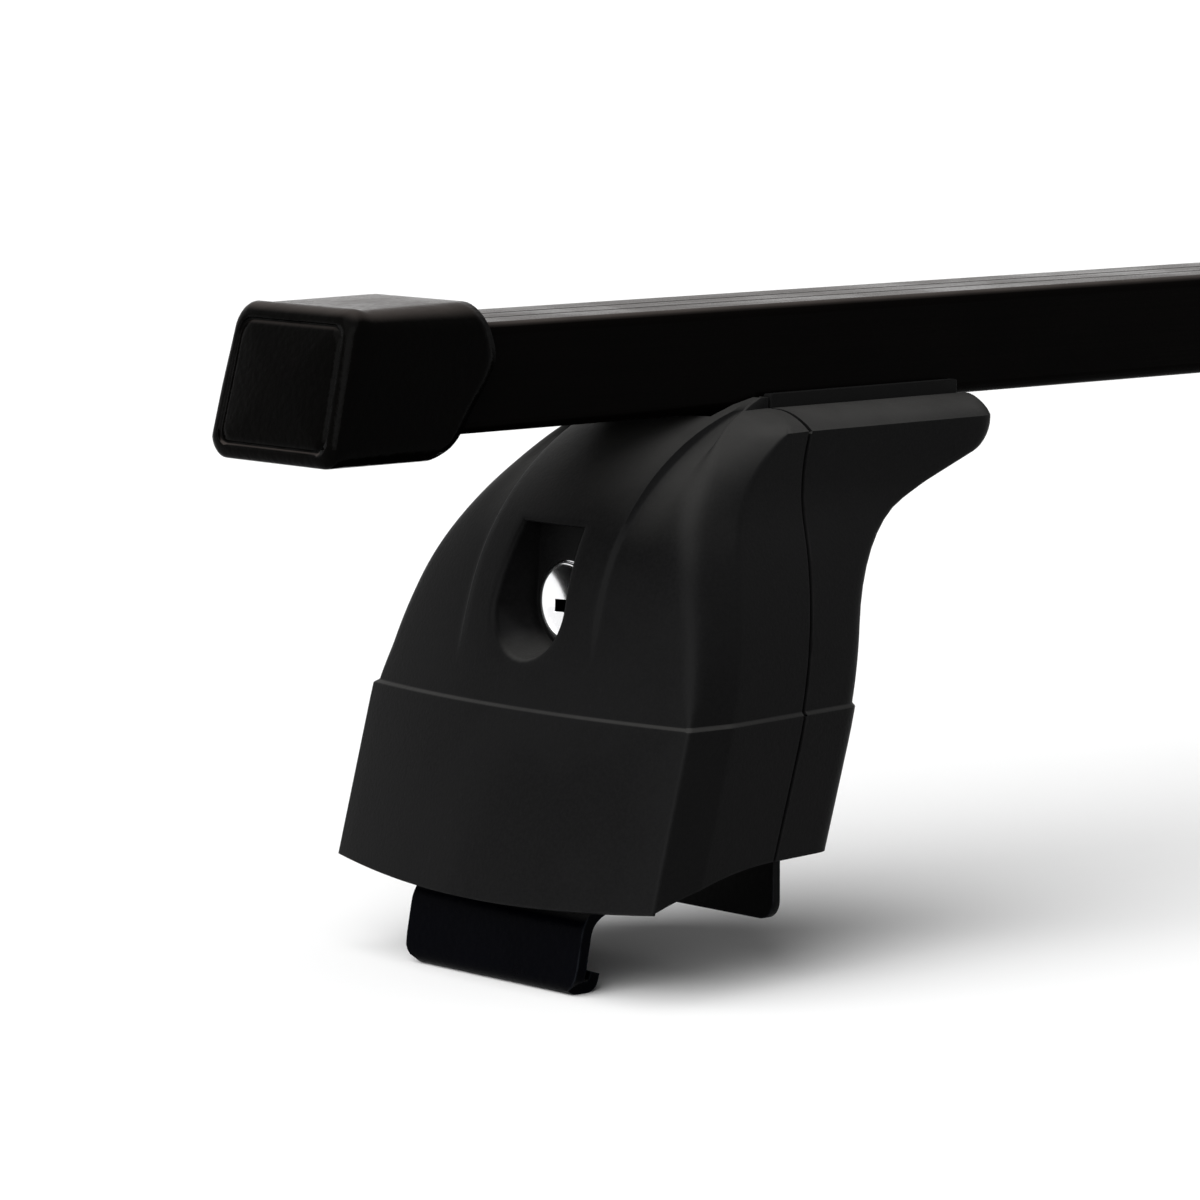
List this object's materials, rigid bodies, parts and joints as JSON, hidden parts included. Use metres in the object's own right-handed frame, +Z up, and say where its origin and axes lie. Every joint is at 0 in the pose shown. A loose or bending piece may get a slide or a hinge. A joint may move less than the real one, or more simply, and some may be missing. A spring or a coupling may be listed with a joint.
{
  "type": "roof rack",
  "caption": "Roof rack crossbar: rectangular steel bar in a plastic sheath, with end caps and lockable feet that grip a roof rail between two jaws.",
  "frame": {"origin": "middle of the bar in plan, at the level of the outer jaws' lips that the rack stands on", "axes": "+X along the bar, +Z up; the foot at -X is the left one, and its outboard side faces -X"},
  "size_m": [1.1, 0.1018, 0.1412],
  "materials": {
    "bar_steel": "galvanised",
    "sheath_plastic": "smooth satin",
    "cap_plastic": "fine texture",
    "foot_plastic": "fine texture",
    "rubber": "matte",
    "frame_steel": "zinc plated",
    "plated_steel": "zinc plated",
    "lock_chrome": "polished",
    "jaw_paint": "black powder coat",
    "black_screw": "blackened"
  },
  "bodies": {
    "bar": {"bar_tube": "bar_steel", "bar_sheath": "sheath_plastic", "end_cap_left": "cap_plastic", "end_cap_right": "cap_plastic"},
    "foot_left": {"inner_shell_left": "foot_plastic", "saddle_pad_left": "rubber", "foot_frame_left": "frame_steel", "strike_plate_left": "plated_steel", "t_bolts_left": "plated_steel", "bar_washers_left": "plated_steel", "bar_nuts_left": "plated_steel", "inner_jaw_left": "jaw_paint", "rail_pad_left": "rubber", "clamp_nut_left": "plated_steel", "shell_screws_left": "black_screw"},
    "cover_unit_left": {"cover_left": "foot_plastic", "lock_housing_left": "lock_chrome"},
    "lock_left": {"lock_plug_left": "lock_chrome", "lock_cam_left": "plated_steel", "cam_screw_left": "plated_steel"},
    "jaw_left": {"outer_jaw_left": "jaw_paint", "clamp_washer_left": "plated_steel"},
    "clamp_screw_left": {"clamp_bolt_left": "plated_steel"},
    "foot_right": {"inner_shell_right": "foot_plastic", "saddle_pad_right": "rubber", "foot_frame_right": "frame_steel", "strike_plate_right": "plated_steel", "t_bolts_right": "plated_steel", "bar_washers_right": "plated_steel", "bar_nuts_right": "plated_steel", "inner_jaw_right": "jaw_paint", "rail_pad_right": "rubber", "clamp_nut_right": "plated_steel", "shell_screws_right": "black_screw"},
    "cover_unit_right": {"cover_right": "foot_plastic", "lock_housing_right": "lock_chrome"},
    "lock_right": {"lock_plug_right": "lock_chrome", "lock_cam_right": "plated_steel", "cam_screw_right": "plated_steel"},
    "jaw_right": {"outer_jaw_right": "jaw_paint", "clamp_washer_right": "plated_steel"},
    "clamp_screw_right": {"clamp_bolt_right": "plated_steel"}
  },
  "joints": [
    {"name": "foot_slide_left", "type": "slide", "parent": "bar", "child": "foot_left", "axis": [1, 0, 0], "range_m": [-0.008, 0.06]},
    {"name": "cover_pull_left", "type": "slide", "parent": "foot_left", "child": "cover_unit_left", "axis": [-1, 0, 0], "range_m": [0, 0.035]},
    {"name": "lock_turn_left", "type": "hinge", "parent": "cover_unit_left", "child": "lock_left", "pos_m": [-0.462, 0, 0.0762], "axis": [1, 0, 0], "range_deg": [0, 90]},
    {"name": "jaw_slide_left", "type": "slide", "parent": "foot_left", "child": "jaw_left", "axis": [1, 0, 0], "range_m": [0, 0.012]},
    {"name": "clamp_turn_left", "type": "hinge", "parent": "jaw_left", "child": "clamp_screw_left", "pos_m": [-0.472, 0, 0.0392], "axis": [1, 0, 0], "range_deg": [0, 3456]},
    {"name": "foot_slide_right", "type": "slide", "parent": "bar", "child": "foot_right", "axis": [-1, 0, 0], "range_m": [-0.008, 0.06]},
    {"name": "cover_pull_right", "type": "slide", "parent": "foot_right", "child": "cover_unit_right", "axis": [1, 0, 0], "range_m": [0, 0.035]},
    {"name": "lock_turn_right", "type": "hinge", "parent": "cover_unit_right", "child": "lock_right", "pos_m": [0.462, 0, 0.0762], "axis": [-1, 0, 0], "range_deg": [0, 90]},
    {"name": "jaw_slide_right", "type": "slide", "parent": "foot_right", "child": "jaw_right", "axis": [-1, 0, 0], "range_m": [0, 0.012]},
    {"name": "clamp_turn_right", "type": "hinge", "parent": "jaw_right", "child": "clamp_screw_right", "pos_m": [0.472, 0, 0.0392], "axis": [-1, 0, 0], "range_deg": [0, 3456]}
  ],
  "couplings": [
    {"joint": "clamp_turn_left", "follows": "jaw_slide_left", "rad_per_m": 5026.5},
    {"joint": "clamp_turn_right", "follows": "jaw_slide_right", "rad_per_m": 5026.5}
  ]
}
